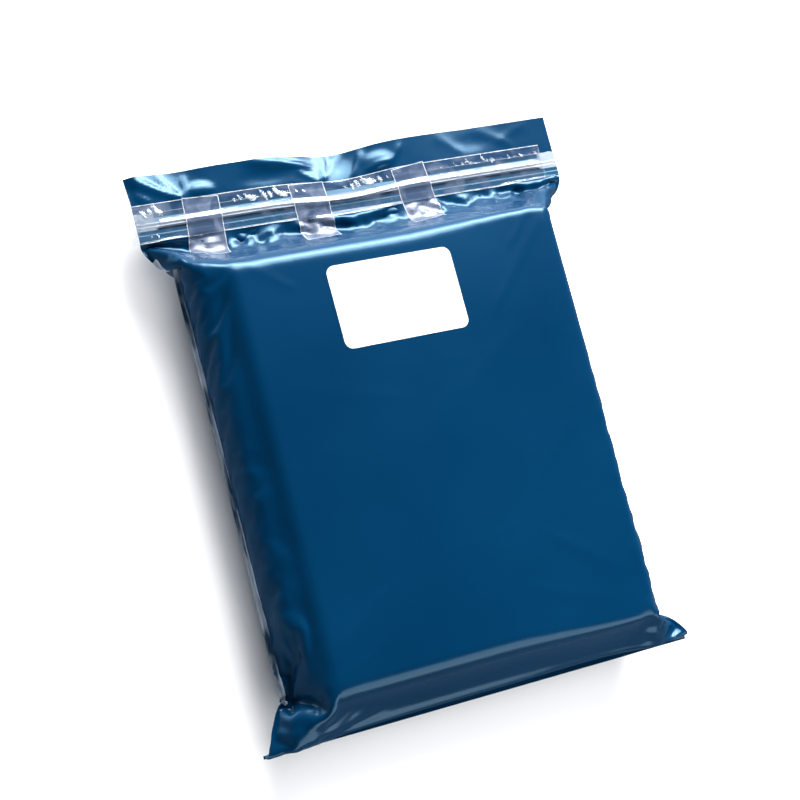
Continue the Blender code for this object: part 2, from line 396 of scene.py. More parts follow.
def film_pattern(columns, rows):
    across = np.linspace(-FILM_WIDTH / 2, FILM_WIDTH / 2, columns + 1)
    u, v = np.meshgrid(across, np.linspace(0, FILM_LENGTH, rows + 1))
    from_seam = FILM_WIDTH / 2 - np.abs(u)
    lower_half = 0.25 + 0.75 * smooth(0.25, 0.12, v)
    between_ends = smooth(0.0, 0.03, v) * smooth(FLAP_V + 0.002, FLAP_V - 0.02, v)
    spare_v = 1 + SPARE_AT_SIDES * hill(from_seam, 0.017, 0.011) * lower_half * between_ends
    near_ends = hill(v, FLAP_V - 0.016, 0.013) + 0.2 * hill(v, FIN + 0.018, 0.014)
    spare_u = 1 + SPARE_AT_SHOULDER * near_ends
    cell_u, cell_v = FILM_WIDTH / columns, FILM_LENGTH / rows
    length_u = cell_u * (spare_u[:, 1:] + spare_u[:, :-1]) / 2
    length_v = cell_v * (spare_v[1:] + spare_v[:-1]) / 2
    diagonal_u = cell_u * (spare_u[1:, 1:] + spare_u[:-1, :-1]) / 2
    diagonal_v = cell_v * (spare_v[1:, 1:] + spare_v[:-1, :-1]) / 2
    length_diagonal = np.hypot(diagonal_u, diagonal_v)
    fin = v[:, 0] <= FIN + 1e-6
    flap = v[:, 0] >= FLAP_V - 1e-6
    welded = np.zeros(u.shape, bool)
    welded[fin] = True
    welded[flap] = True
    welded[from_seam <= SEAM_WIDTH] = True
    flap_line = FLAP_Y + (v - FLAP_V) - FLAP_SAG * hill(u, FLAP_SAG_U, FLAP_SAG_WIDTH)
    held_flap = np.stack([u, flap_line, np.full_like(u, FLAP_Z)], -1)[flap]
    held_fin = np.stack([u * EAR_REACH, FIN_Y + (v - FIN), np.full_like(u, FIN_Z)], -1)[fin]
    return u, v, (length_u, length_v, length_diagonal), welded, ((flap, held_flap), (fin, held_fin))


def steady_seams(points, v, strength):
    """Draws both side seams towards a straight line, as a stiff weld does, but less at the two ends."""
    share = strength * smooth(0.035, 0.070, v[:, 0]) * smooth(FLAP_V - 0.020, FLAP_V - 0.060, v[:, 0])
    for column, seam_x in ((0, SEAM_LEFT), (-1, SEAM_RIGHT)):
        points[:, column, 0] += (seam_x - points[:, column, 0]) * share
        points[:, column, 2] += (SEAM_Z - points[:, column, 2]) * share


print("spare film beside the seams:", round(SPARE_AT_SIDES * 100, 1), "percent")

# %% [markdown]
# The goods start almost flat and grow to their full height inside the pouch, as if the pouch were filled.
# The film keeps some of its own motion, so it swings into place instead of creeping. Air that is trapped
# inside bulges the free sides, while the faces settle on the goods. The end of each level damps the
# motion, so that the film comes to rest.

# %% Grow the goods inside the pouch
SIDE_PRESSURE = 0.00004  # how far trapped air pushes the free sides out in one step
FACE_SETTLES = 0.00003  # how far the faces move in towards the goods in one step
FACE_END, FACE_BLEND = 0.112, 0.012  # where the faces end and the free sides begin, as distances in x
LAYER_GAP = 0.0004
FLOOR_GAP = 0.0001
THIN_GOODS = 0.002  # half height of the goods at the start
FIRST_SHAKE, LATER_SHAKE = 0.0002, 0.00025  # small random moves, so that the film can buckle
GROWING, MOVING = 0.7, 0.8  # shares of a level's steps
FREE_DAMPING, LAST_DAMPING = 0.85, 0.5
HOLD_LEAST, HOLD_MORE = 0.005, 0.12  # how firmly the flap and the bottom seam are held
SEAM_HOLD = 0.05


def push_film(points, before, side, flap, pressure, damping):
    """Carries the film on by its own motion, bulges its free sides and lets its faces settle."""
    motion = (points - before) * damping
    before[:] = points
    free = np.clip((np.abs(points[..., 0]) - FACE_END) / FACE_BLEND, 0, 1)
    free[flap] = 0
    points += motion + film_normals(points) * (side * free * pressure)[..., None]
    points[..., 2] -= side * FACE_SETTLES * (1 - free)


def part_layers(front, back, welded):
    """Keeps the front film over the back film, where they aren't welded."""
    crossed = (front[..., 2] - back[..., 2] < LAYER_GAP) & ~welded
    middle = (front[..., 2] + back[..., 2]) / 2
    front[crossed, 2] = middle[crossed] + LAYER_GAP / 2
    back[crossed, 2] = middle[crossed] - LAYER_GAP / 2


def fill_pouch(levels):
    chance = np.random.default_rng(SEED)
    front = back = None
    for number, (columns, rows, steps, rounds, bend, squeeze) in enumerate(levels):
        u, v, lengths, welded, holds = film_pattern(columns, rows)
        flap = holds[0][0]
        if front is None:
            flat = np.stack([u, v - FILM_LENGTH / 2, np.full_like(u, FLAP_Z)], -1)
            front, back = flat + (0, 0, LAYER_GAP), flat - (0, 0, LAYER_GAP)
            front[..., 2] += chance.normal(0, FIRST_SHAKE, u.shape)
        else:
            front, back = refine(front), refine(back)
            front += chance.normal(0, LATER_SHAKE / number, front.shape)
            back += chance.normal(0, LATER_SHAKE / number, back.shape)
        front_before, back_before = front.copy(), back.copy()
        for step in range(steps):
            grown = min(1.0, (step + 1) / (steps * GROWING)) if number == 0 else 1.0
            half = GOODS_HALF.copy()
            half[2] = THIN_GOODS + (half[2] - THIN_GOODS) * grown
            rounding = min(GOODS_ROUND, half[2] * 0.9)
            damping = FREE_DAMPING if step < steps * MOVING else LAST_DAMPING
            pressure = SIDE_PRESSURE / (number + 1)
            push_film(front, front_before, 1, flap, pressure, damping)
            push_film(back, back_before, -1, flap, pressure, damping)
            for _ in range(rounds):
                for points, other, side in ((front, back, 1), (back, front, -1)):
                    relax(points, *lengths, bend, squeeze)
                    keep_off_goods(points, half, rounding, side)
                    points[..., 2] = np.maximum(points[..., 2], FLOOR_GAP)
                    for rows_held, places in holds:
                        points[rows_held] += (places - points[rows_held]) * (HOLD_LEAST + HOLD_MORE * grown)
                    steady_seams(points, v, SEAM_HOLD * grown)
                    other[welded] = points[welded]
                part_layers(front, back, welded)
        seam = round(-front[rows // 2, 0, 0] / MM, 1)
        print("grid", columns, "x", rows, "side seam at", seam, "mm from the middle")
    return front, back


front_film, back_film = fill_pouch(LEVELS)
front_film += (POUCH_X, 0, 0)
back_film += (POUCH_X, 0, 0)
ROWS, COLUMNS = front_film.shape[0] - 1, front_film.shape[1] - 1

# %% [markdown]
# ## Crumples
#
# The solver gives folds down to its grid. Crushed film also has small facets with sharp edges. They are
# made by subtracting the distance to one scatter of points from the distance to another: each distance is
# a field of cones that meet in creases. The facets are kept to the places that were squeezed by hand:
# the lower sides, the four corners and a line just under the flap.


# %% Crush the film where it was squeezed
CRUSH_DEPTH, CRUSH_FACET = 0.0015, 0.016
UNDER_FLAP_DEPTH, UNDER_FLAP_FACET = 0.0024, 0.009
FRONT_SEED, BACK_SEED = 21, 31


def crumple(u, v, size, seed):
    """A crushed relief between about -0.5 and 0.5, with facets of about the size given."""
    chance = np.random.default_rng(seed)
    relief = np.zeros_like(u)
    count = int(u.max() * 2 * v.max() / size**2)
    for sign in (1, -1):
        spots = chance.uniform((-FILM_WIDTH / 2, 0), (FILM_WIDTH / 2, FILM_LENGTH), (count, 2))
        nearest = np.full(u.shape, 1.0)
        for spot_u, spot_v in spots:
            nearest = np.minimum(nearest, (u - spot_u) ** 2 + (v - spot_v) ** 2)
        relief += sign * np.sqrt(nearest) / size
    return relief


def crush_film(points, u, v, side, seed):
    from_seam = FILM_WIDTH / 2 - np.abs(u)
    sides = hill(from_seam, 0.022, 0.013) * smooth(0.29, 0.13, v)
    foot_corners = hill(from_seam, 0.026, 0.022) * hill(v, 0.030, 0.026)
    shoulder_corners = hill(from_seam, 0.024, 0.020) * hill(v, FLAP_V - 0.026, 0.020)
    amount = CRUSH_DEPTH * np.clip(sides + foot_corners + shoulder_corners, 0, 1.2)
    amount *= smooth(0.0, 0.004, from_seam) * smooth(FIN, FIN + 0.006, v) * smooth(FLAP_V, FLAP_V - 0.006, v)
    relief = crumple(u, v, CRUSH_FACET, seed) + 0.45 * crumple(u, v, CRUSH_FACET / 2, seed + 1)
    under_flap = UNDER_FLAP_DEPTH * hill(v, FLAP_V - 0.007, 0.009) * smooth(0.148, 0.125, np.abs(u))
    small = crumple(u, v, UNDER_FLAP_FACET, seed + 2) * under_flap * smooth(FLAP_V, FLAP_V - 0.004, v)
    points += film_normals(points) * (side * (amount * relief + small))[..., None]


# %% [markdown]
# The flap is two welded films, so it moves as one. Above the zip nothing holds it: it bends back in two
# places, and folds run from its edge to the corners of the short tapes, where pressing the tapes down
# gathered the film. A fold is a smooth ridge along a short line, and a blister is a low dome. The front
# has a few long soft creases of the same kind, from being handled.


# %% Folds and blisters
def fold(u, t, start, stop, width, height):
    """A ridge from start to stop, in film coordinates. It narrows and fades in at its start."""
    run = np.subtract(stop, start)
    length = np.hypot(*run)
    along = ((u - start[0]) * run[0] + (t - start[1]) * run[1]) / length**2
    aside = ((u - start[0]) * run[1] - (t - start[1]) * run[0]) / length
    ends = smooth(-0.15, 0.25, along) * smooth(1.1, 0.85, along)
    narrowed = width * (1.15 - 0.7 * np.clip(along, 0, 1))
    return height * np.exp(-np.abs(aside / narrowed) ** 1.6) * ends


def blister(u, t, centre, radii, height):
    """A low dome over an ellipse."""
    away = np.hypot((u - centre[0]) / radii[0], (t - centre[1]) / radii[1])
    return height * smooth(1.0, 0.15, away)


# %% Bend and gather the flap
TAPE_EDGE = 0.0245  # the long tape's upper edge, as a distance t above the start of the flap
FLAP_BENDS = ((-12, 21, 7.0), (-120, 18, 4.5), (95, 30, 1.6))  # u, width and depth, in mm
CORNER_CURL, CURL_RUN = 0.0035, 0.007
FLAP_FOLDS = (
    # start and stop as (u, t), width, height, all in mm
    ((-150, 42), (-119, 25), 3.6, 1.9),
    ((-132, 43), (-118, 25), 2.2, 1.0),
    ((-113, 40), (-117, 25), 1.6, 1.1),
    ((-72, 43), (-26, 36), 3.0, 2.0),
    ((-14, 44), (-21, 25), 2.2, 1.7),
    ((-3, 43), (-19, 26), 1.8, 1.2),
    ((-38, 34), (-22, 25), 1.6, 1.0),
    ((12, 41), (1, 25), 2.4, 1.5),
    ((9, 27), (33, 31), 1.7, 1.3),
    ((40, 40), (28, 26), 2.0, 0.9),
    ((66, 42), (84, 28), 4.5, 0.45),
    ((96, 43), (122, 28), 5.0, 0.4),
    ((137, 42), (112, 31), 3.5, 0.3),
    ((-140, 25), (-150, 33), 2.5, 0.9),
)
FLAP_BLISTERS = (
    # middle as (u, t), half width and half length, height, all in mm
    ((-105, 29), (13, 7), 1.9),
    ((21, 32), (15, 8), 1.7),
    ((-60, 31), (24, 7), -0.8),
    ((92, 33), (20, 8), -0.4),
)


def gather_flap(u, v):
    t = v - FLAP_V
    bend = MM * sum(depth * hill(u / MM, place, width) for place, width, depth in FLAP_BENDS)
    relief = -bend * smooth(TAPE_EDGE - 0.004, FLAP + 0.004, t)
    folds = sum(fold(u / MM, t / MM, *of) for of in FLAP_FOLDS)
    blisters = sum(blister(u / MM, t / MM, *of) for of in FLAP_BLISTERS)
    relief += (folds + blisters) * MM * smooth(TAPE_EDGE - 0.003, TAPE_EDGE + 0.0015, t)
    left_end = smooth(FILM_WIDTH / 2 - CURL_RUN, FILM_WIDTH / 2, -u)
    curled = -CORNER_CURL * left_end * smooth(TAPE_EDGE, FLAP, t)
    return (relief + curled) * smooth(0, 0.001, t)


print(len(FLAP_FOLDS), "folds and", len(FLAP_BLISTERS), "blisters in the flap")

# %% Soft creases on the front
FRONT_CREASES = (
    # start and stop as (u, v), width, height, all in mm
    ((112, 318), (62, 262), 5.0, 0.30),
    ((116, 338), (84, 300), 3.0, 0.35),
    ((108, 300), (92, 236), 6.0, 0.22),
    ((-104, 322), (-70, 296), 4.0, 0.25),
    ((-20, 180), (70, 246), 9.0, 0.20),
    ((-90, 236), (-10, 214), 9.0, 0.16),
    ((104, 78), (58, 112), 6.0, 0.28),
    ((92, 60), (30, 84), 6.0, 0.22),
    ((-104, 72), (-62, 104), 5.0, 0.28),
    ((-96, 58), (-70, 74), 3.0, 0.30),
    ((60, 150), (98, 182), 7.0, 0.18),
)


def crease_front(u, v):
    return MM * sum(fold(u / MM, v / MM, *of) for of in FRONT_CREASES)


film_u, film_v, *_ = film_pattern(COLUMNS, ROWS)
flap_relief = gather_flap(film_u, film_v)
front_film[..., 2] += flap_relief + crease_front(film_u, film_v)
back_film[..., 2] += flap_relief
crush_film(front_film, film_u, film_v, 1, FRONT_SEED)
crush_film(back_film, film_u, film_v, -1, BACK_SEED)
back_film[..., 2] = np.maximum(back_film[..., 2], FLOOR_GAP)
print("film grid", COLUMNS, "x", ROWS, "cells of", round(FILM_WIDTH / COLUMNS / MM, 2), "mm")

# %% [markdown]
# ## From grids to solids
#
# Two grids of the same shape, one over the other, become a closed thin solid when their rims are joined
# by a strip of faces. The pouch, the tapes and the label are all made by this one function.


# %% Close two grids into one thin solid
SHARP_ANGLE = 1.2


def closed_sheet(name, upper, lower):
    rows, columns = upper.shape[:2]
    index = np.arange(rows * columns).reshape(rows, columns)
    cells = np.stack([index[:-1, :-1], index[:-1, 1:], index[1:, 1:], index[1:, :-1]], -1).reshape(-1, 4)
    rim = np.concatenate([index[0], index[1:, -1], index[-1, -2::-1], index[-2:0:-1, 0]])
    following = np.roll(rim, -1)
    below = rows * columns
    strip = np.stack([rim, rim + below, following + below, following], -1)
    faces = np.concatenate([cells, cells[:, ::-1] + below, strip])
    places = np.concatenate([upper.reshape(-1, 3), lower.reshape(-1, 3)])
    mesh = bpy.data.meshes.new(name)
    mesh.from_pydata(places.tolist(), [], faces.tolist())
    mesh.shade_smooth()
    mesh.set_sharp_from_angle(angle=SHARP_ANGLE)
    made = bpy.data.objects.new(name, mesh)
    bpy.context.scene.collection.objects.link(made)
    return made


# %% Make the pouch
FILM_HALF = 0.00015  # half of the thickness where two films are welded


def make_pouch():
    upper = front_film + film_normals(front_film) * FILM_HALF
    lower = back_film - film_normals(back_film) * FILM_HALF
    lower[..., 2] = np.maximum(lower[..., 2], 0.0)
    return closed_sheet("mailer_pouch", upper, lower), upper


mailer_pouch, film_face = make_pouch()
film_face_normal = film_normals(film_face)
print("pouch:", len(mailer_pouch.data.polygons), "faces")

# %% [markdown]
# ## The blue film's finish
#
# Co-extruded film is glossy, but it is never optically flat: it has a fine haze, long soft draw lines,
# and tiny handling creases that break up reflections. Those creases are one node group, so that the
# tapes and the zip can use them at their own scale. A second group makes soft patches, for every plastic
# here that is clear in one place and milky in another.


# %% Two node groups
def new_group(name, inputs, output):
    """A group with inputs given as names and plain values, and the nodes that read and write them."""
    group = bpy.data.node_groups.new(name, "ShaderNodeTree")
    for socket, value in inputs.items():
        made = group.interface.new_socket(name=socket, in_out="INPUT", socket_type="NodeSocketFloat")
        made.default_value = value
    group.interface.new_socket(name=output, in_out="OUTPUT", socket_type="NodeSocketFloat")
    given = group.nodes.new("NodeGroupInput").outputs
    result = group.nodes.new("NodeGroupOutput").inputs[output]
    place = group.nodes.new("ShaderNodeTexCoord").outputs["Object"]
    return group, group.nodes, group.links, given, result, place


def crease_group():
    """Straight thin ridges that come and go, and small facets, as a height."""
    inputs = {"Ridge Scale": 9.0, "Facet Scale": 60.0, "Facet Share": 0.3}
    group, nodes, links, given, result, place = new_group("handling creases", inputs, "Height")
    network = nodes.new("ShaderNodeTexVoronoi")
    network.feature = "DISTANCE_TO_EDGE"
    facets = nodes.new("ShaderNodeTexVoronoi")
    where = nodes.new("ShaderNodeTexNoise")
    for texture, scale in ((network, "Ridge Scale"), (where, "Ridge Scale"), (facets, "Facet Scale")):
        links.new(place, texture.inputs["Vector"])
        links.new(given[scale], texture.inputs["Scale"])
    ridge = remap(nodes, links, network.outputs["Distance"], (0.0, 0.07), (0.10, 0.0))
    shown = remap(nodes, links, where.outputs["Fac"], (0.48, 0.66))
    kept = combine(nodes, links, "MULTIPLY", ridge, shown)
    height = combine(nodes, links, "MULTIPLY_ADD", facets.outputs["Distance"], given["Facet Share"], kept)
    links.new(height, result)
    return group


def patch_group():
    """A mask of soft patches: 0 where the noise is under Low, 1 where it is over High."""
    inputs = {"Scale": 85.0, "Detail": 2.0, "Distortion": 0.0, "Low": 0.4, "High": 0.6}
    group, nodes, links, given, result, place = new_group("milky patches", inputs, "Mask")
    patches = nodes.new("ShaderNodeTexNoise")
    links.new(place, patches.inputs["Vector"])
    for socket in ("Scale", "Detail", "Distortion"):
        links.new(given[socket], patches.inputs[socket])
    mask = nodes.new("ShaderNodeMapRange")
    links.new(patches.outputs["Fac"], mask.inputs["Value"])
    links.new(given["Low"], mask.inputs["From Min"])
    links.new(given["High"], mask.inputs["From Max"])
    links.new(mask.outputs["Result"], result)
    return group


creases = crease_group()
milky_patches = patch_group()
print("node groups:", creases.name, "and", milky_patches.name)


# %% Helpers that place them in a material
def place_group(nodes, group, values):
    placed = nodes.new("ShaderNodeGroup")
    placed.node_tree = group
    for socket, value in values.items():
        placed.inputs[socket].default_value = value
    return placed.outputs[0]


def add_creases(nodes, ridge_scale, facet_scale, facet_share):
    values = {"Ridge Scale": ridge_scale, "Facet Scale": facet_scale, "Facet Share": facet_share}
    return place_group(nodes, creases, values)


def add_patches(nodes, scale, low, high, detail=2.0, distortion=0.0):
    values = {"Scale": scale, "Detail": detail, "Distortion": distortion, "Low": low, "High": high}
    return place_group(nodes, milky_patches, values)


def add_bump(nodes, links, height, strength, distance, shader, under=None):
    bump = nodes.new("ShaderNodeBump")
    bump.inputs["Strength"].default_value = strength
    bump.inputs["Distance"].default_value = distance
    links.new(height, bump.inputs["Height"])
    if under is not None:
        links.new(under.outputs["Normal"], bump.inputs["Normal"])
    links.new(bump.outputs["Normal"], shader.inputs["Normal"])
    return bump


# %% [markdown]
# The film's colour drifts a little, where it is thinner, and its haze drifts with it. The mirror colour
# is tinted blue too, since light that enters the film and comes back out has lost its red. Along the side
# seams pale streaks are painted on: a painted reflection, in place of what their grazing facets mirror.

# %% Finish of the film, and the painted reflection on its seams
HIGHLIGHT_TONE = (0.40, 0.75, 1.0, 1)


def film_material():
    made, nodes, links, shader = principled("deep blue film")
    place = nodes.new("ShaderNodeTexCoord").outputs["Object"]
    drift = add_noise(nodes, links, place, 7.0)
    tone = two_tones(nodes, links, drift, (0.0, 0.024, 0.070), (0.0, 0.033, 0.093), (0.25, 0.80))
    links.new(tone, shader.inputs["Base Color"])
    haze = remap(nodes, links, drift, (0.0, 1.0), (0.17, 0.29))
    links.new(haze, shader.inputs["Roughness"])
    shader.inputs["IOR"].default_value = 1.50
    shader.inputs["Specular Tint"].default_value = HIGHLIGHT_TONE
    fine = add_noise(nodes, links, place, 220.0)
    first = add_bump(nodes, links, fine, 0.25, 0.0002, shader)
    add_bump(nodes, links, add_creases(nodes, 14.0, 55.0, 0.10), 0.35, 0.002, shader, first)
    return made


def seam_reflection_material():
    """Painted reflection on the side seams: pale streaks along their length, over the film's own dark blue.
    """
    made, nodes, links, shader = principled("painted seam reflection")
    stretch = nodes.new("ShaderNodeMapping")
    stretch.inputs["Scale"].default_value = (1.0, 0.22, 1.0)
    links.new(nodes.new("ShaderNodeTexCoord").outputs["Object"], stretch.inputs["Vector"])
    streaks = add_noise(nodes, links, stretch.outputs["Vector"], 170.0)
    # The pale streaks are a painted reflection. The dark tone is the film's own blue.
    tone = two_tones(nodes, links, streaks, (0.012, 0.045, 0.090), (0.42, 0.49, 0.60), (0.36, 0.56))
    links.new(tone, shader.inputs["Base Color"])
    shader.inputs["Roughness"].default_value = 0.35
    add_bump(nodes, links, streaks, 0.4, 0.0005, shader)
    return made


PAINTED_SEAM_COLUMNS = 2
PAINTED_SEAM_STARTS, PAINTED_SEAM_STOPS = 0.11, 0.86  # as shares of the film's length


def mark_seams(pouch):
    """Gives the outer columns of cells, between the two ends, the painted seam reflection."""
    weld = np.zeros((ROWS, COLUMNS), int)
    weld[:, :PAINTED_SEAM_COLUMNS] = weld[:, -PAINTED_SEAM_COLUMNS:] = 1
    weld[: int(ROWS * PAINTED_SEAM_STARTS)] = weld[int(ROWS * PAINTED_SEAM_STOPS) :] = 0
    rim = np.zeros(len(pouch.data.polygons) - 2 * weld.size, int)
    pouch.data.polygons.foreach_set("material_index", np.concatenate([weld.ravel(), weld.ravel(), rim]))


# The side seams get pale streaks, a painted reflection in place of what their grazing facets mirror.
mailer_pouch.data.materials.append(film_material())
mailer_pouch.data.materials.append(seam_reflection_material())
mark_seams(mailer_pouch)
print("film finish: deep blue, hazed gloss, with painted seam reflections")

# %% [markdown]
# ## What is stuck to the film
#
# A tape has no shape of its own: it follows what it is stuck to. So a stuck piece is drawn flat in film
# coordinates, and each of its points is then carried onto the filled pouch, a little way out along the
# film's normal. The places in film coordinates come from the solids: across the flap, distances along the
# film and along the parcel are the same.


# %% Carry flat points onto the film
def film_v_of(y):
    """The film coordinate v of a point of the flap at the parcel's coordinate y."""
    return FLAP_V + (y - FLAP_Y)


def on_film(u, v, height):
    """Places for points at film coordinates u and v, raised off the front film. u may run past the seams."""
    column = np.clip((u / FILM_WIDTH + 0.5) * COLUMNS, 0, COLUMNS - 1e-6)
    row = np.clip(v / FILM_LENGTH * ROWS, 0, ROWS - 1e-6)
    i, j = row.astype(int), column.astype(int)
    a, b = (row - i)[..., None], (column - j)[..., None]

    def between(grid):
        low = grid[i, j] * (1 - b) + grid[i, j + 1] * b
        high = grid[i + 1, j] * (1 - b) + grid[i + 1, j + 1] * b
        return low * (1 - a) + high * a

    out = between(film_face_normal)
    out /= np.linalg.norm(out, axis=-1, keepdims=True)
    places = between(film_face) + out * np.asarray(height)[..., None]
    places[..., 0] += u - np.clip(u, -FILM_WIDTH / 2, FILM_WIDTH / 2)
    return places


def stick_on(name, u, v, low, high):
    """A thin solid stuck to the film, from its lower face to its upper face."""
    return closed_sheet(name, on_film(u, v, high), on_film(u, v, low))


# %% [markdown]
# The cut edge of clear tape catches the light from its inside, so it shows as a thin pale line. Each
# tape's grid therefore has one more row or column just inside every edge, and that narrow ring of cells
# gets its own finish.

# %% Cut edges
CUT_EDGE = 0.00038  # width of the pale line that a tape's cut edge shows as


def with_edges(start, stop, count):
    """Evenly spaced places from start to stop, with one more beside each end, a cut edge's width in."""
    inset = math.copysign(CUT_EDGE, stop - start)
    inner = np.linspace(start + inset, stop - inset, count)
    return np.concatenate([[start], inner, [stop]])


def finish_with_edges(piece, rows, columns, face, edge, pleated=None, white=None):
    """Gives the outermost cells and the rim the cut edge's finish, and the pleated cells the pleats' finish
    of milkiness and painted highlight.
    """
    ring = np.zeros((rows - 1, columns - 1), int)
    if pleated is not None:
        ring[pleated] = 2
    ring[0] = ring[-1] = 1
    ring[:, 0] = ring[:, -1] = 1
    rim = np.ones(len(piece.data.polygons) - 2 * ring.size, int)
    for finish in filter(None, (face, edge, white)):
        piece.data.materials.append(finish)
    piece.data.polygons.foreach_set("material_index", np.concatenate([ring.ravel(), ring.ravel(), rim]))


# %% [markdown]
# The stack on the flap is worked out once, as heights off the film that depend on y: the zip's flange and
# its two fine ribs, the long tape that bridges the ribs, and the short tapes over that. Drawn over the
# zip, the long tape lifted off in short slanting pleats, which stand in groups where it was pulled most.

# %% Heights of the stack
zip_low, zip_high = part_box("zip_strip")
tape_low, tape_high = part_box("closure_tape")
RIB_Y, RIB_APART, RIB_WIDTH, RIB_HEIGHT = 0.1516, 0.0011, 0.0006, 0.00115
GUIDE_Y, GUIDE_WIDTH, GUIDE_SHARE = RIB_Y - 0.0065, 0.0004, 0.12
FLANGE = 0.00030
TAPE_THICK = 0.00010
TAPE_ON_FILM, TAPE_ON_ZIP, BRIDGE_WIDTH = 0.00010, 0.00028, 0.0030
CRUSH_RUN = 0.013  # length of the zip's ends that were crushed flat
CRUSH_STARTS = FILM_WIDTH / 2 - CRUSH_RUN
PLEAT_PITCH, PLEAT_HEIGHT = 0.0062, 0.0007
PLEAT_GROUPS = ((-64, 22, 1.0), (8, 14, 1.0), (100, 30, 0.45), (-140, 10, 0.8))  # u, width (mm), strength
PLEATED_OVER = 0.30  # cells where the pleats rise over this share look pale: milky, with a painted highlight


def zip_height(u, y):
    whole = smooth(CRUSH_STARTS, CRUSH_STARTS - 0.004, np.abs(u))
    ribs = hill(y, RIB_Y - RIB_APART, RIB_WIDTH) + hill(y, RIB_Y + RIB_APART, RIB_WIDTH)
    guides = GUIDE_SHARE * hill(y, GUIDE_Y, GUIDE_WIDTH)
    return FLANGE + RIB_HEIGHT * (ribs + guides) * (0.18 + 0.82 * whole)


def pleats(u, y):
    """How far the tape lifts off in pleats, from 0 to 1."""
    t = y - FLAP_Y
    uneven = 0.35 * np.sin(u * 310) + 0.2 * np.sin(u * 97)
    slant = (u * 0.80 + (t - 0.020) * 0.60) / PLEAT_PITCH + uneven
    crest = np.clip(1 - np.abs(slant % 1 - 0.5) / 0.27, 0, 1)
    groups = sum(share * hill(u / MM, place, width) for place, width, share in PLEAT_GROUPS)
    reach = hill(t, 0.0198 + 0.0012 * np.sin(u * 530), 0.0030)
    below = 0.7 * hill(t, 0.0040, 0.0026) * hill(u, -0.132, 0.020)
    return crest * np.clip(groups, 0, 1) * np.clip(reach + below, 0, 1)


def tape_height(u, y):
    whole = smooth(CRUSH_STARTS + 0.002, CRUSH_STARTS - 0.006, np.abs(u))
    bridge = RIB_HEIGHT * hill(y, RIB_Y, BRIDGE_WIDTH) * (0.3 + 0.7 * whole)
    on_zip = smooth(zip_high.y + 0.0022, zip_high.y - 0.0010, y)
    return TAPE_ON_FILM + TAPE_ON_ZIP * on_zip + bridge + PLEAT_HEIGHT * pleats(u, y)


# %% The zip
ZIP_ROWS, ZIP_COLUMNS = 61, 204
RAGGED = 0.0004


def make_zip():
    across = np.linspace(-FILM_WIDTH / 2, FILM_WIDTH / 2, ZIP_COLUMNS)
    u, y = np.meshgrid(across, np.linspace(zip_low.y, zip_high.y, ZIP_ROWS))
    ragged = RAGGED * np.sin(u * 900) * smooth(CRUSH_STARTS, FILM_WIDTH / 2, np.abs(u))
    high = zip_height(u, y) + 0.5 * np.abs(ragged)
    return stick_on("zip_press_strip", u, film_v_of(y) + ragged, np.full_like(u, 0.00006), high)


zip_press_strip = make_zip()
print("zip:", len(zip_press_strip.data.polygons), "faces")


# %% [markdown]
# The long tape was torn off on a dispenser's teeth, so one of its ends is a row of small points. Its
# columns are fine enough to carry the pleats.

# %% The long tape, with its serrated end
LONG_ROWS, LONG_COLUMNS = 46, 400
TOOTH_PITCH = 0.0021
TOOTH_DEPTH = 0.0013


def make_long_tape():
    y = with_edges(tape_low.y, tape_high.y, LONG_ROWS - 2)
    teeth = TOOTH_DEPTH * np.abs(2 * ((y - tape_low.y) / TOOTH_PITCH % 1) - 1)
    ends = with_edges(0.0, 1.0, LONG_COLUMNS - 2)
    start = tape_low.x - POUCH_X
    u = start + (tape_high.x - POUCH_X - teeth[:, None] - start) * ends[None, :]
    y = np.broadcast_to(y[:, None], u.shape)
    low = tape_height(u, y)
    piece = stick_on("long_clear_tape", u, film_v_of(y), low, low + TAPE_THICK)
    return piece, pleats(u, y)[1:, 1:] > PLEATED_OVER


long_clear_tape, pleated_cells = make_long_tape()
print("long tape:", round((tape_high.x - tape_low.x) / MM), "mm long")

# %% [markdown]
# The short tapes were put on by hand, so each has a small tilt of its own. Each one runs from the long
# tape's upper edge down onto the shoulder, and steps down where the long tape ends.

# %% The short tapes
CROSS_WIDTH, CROSS_LENGTH = 0.0245, 0.042
CROSS_LIFT = 0.00012  # off the film
CROSS_GAP = 0.00004  # off the long tape
CROSS_ROWS, CROSS_COLUMNS = 66, 28
CROSS_TILT = {"cross_tape_left": 0.060, "cross_tape_middle": -0.045, "cross_tape_right": -0.085}


def make_cross_tape(node):
    low_corner, high_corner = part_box(node)
    middle = (low_corner.x + high_corner.x) / 2 - POUCH_X
    width = high_corner.x - low_corner.x
    places = with_edges(-width / 2, width / 2, CROSS_COLUMNS - 2)
    across, down = np.meshgrid(places, with_edges(-CROSS_LENGTH, 0, CROSS_ROWS - 2))
    tilt = CROSS_TILT[node]
    u = middle + across * math.cos(tilt) + (down + 0.02) * math.sin(tilt)
    y = tape_high.y - 0.0002 + down * math.cos(tilt) - across * math.sin(tilt)
    over_tape = smooth(tape_low.y - 0.0016, tape_low.y + 0.0004, y)
    low = CROSS_LIFT + (tape_height(u, y) + TAPE_THICK + CROSS_GAP - CROSS_LIFT) * over_tape
    return stick_on("short_" + node, u, film_v_of(y), low, low + TAPE_THICK)


cross_tapes = {node: make_cross_tape(node) for node in CROSS_TILT}
print("short tapes:", ", ".join(cross_tapes))

# %% [markdown]
# The label is a stiff paper sticker with rounded corners. Its rows get shorter towards the corners, so
# the outline is exact and every cell keeps four sides.

# %% The label
LABEL_CORNER = 0.0055
LABEL_THICK = 0.00012
LABEL_LIFT = 0.00008
label_size = (label_high.x - label_low.x, label_high.y - label_low.y)


def front_v_of(y):
    """The film coordinate v whose point lies at y on the front face, read off the film's middle column."""
    column = film_face[:, COLUMNS // 2, 1]
    return np.interp(y, column, film_v[:, 0])


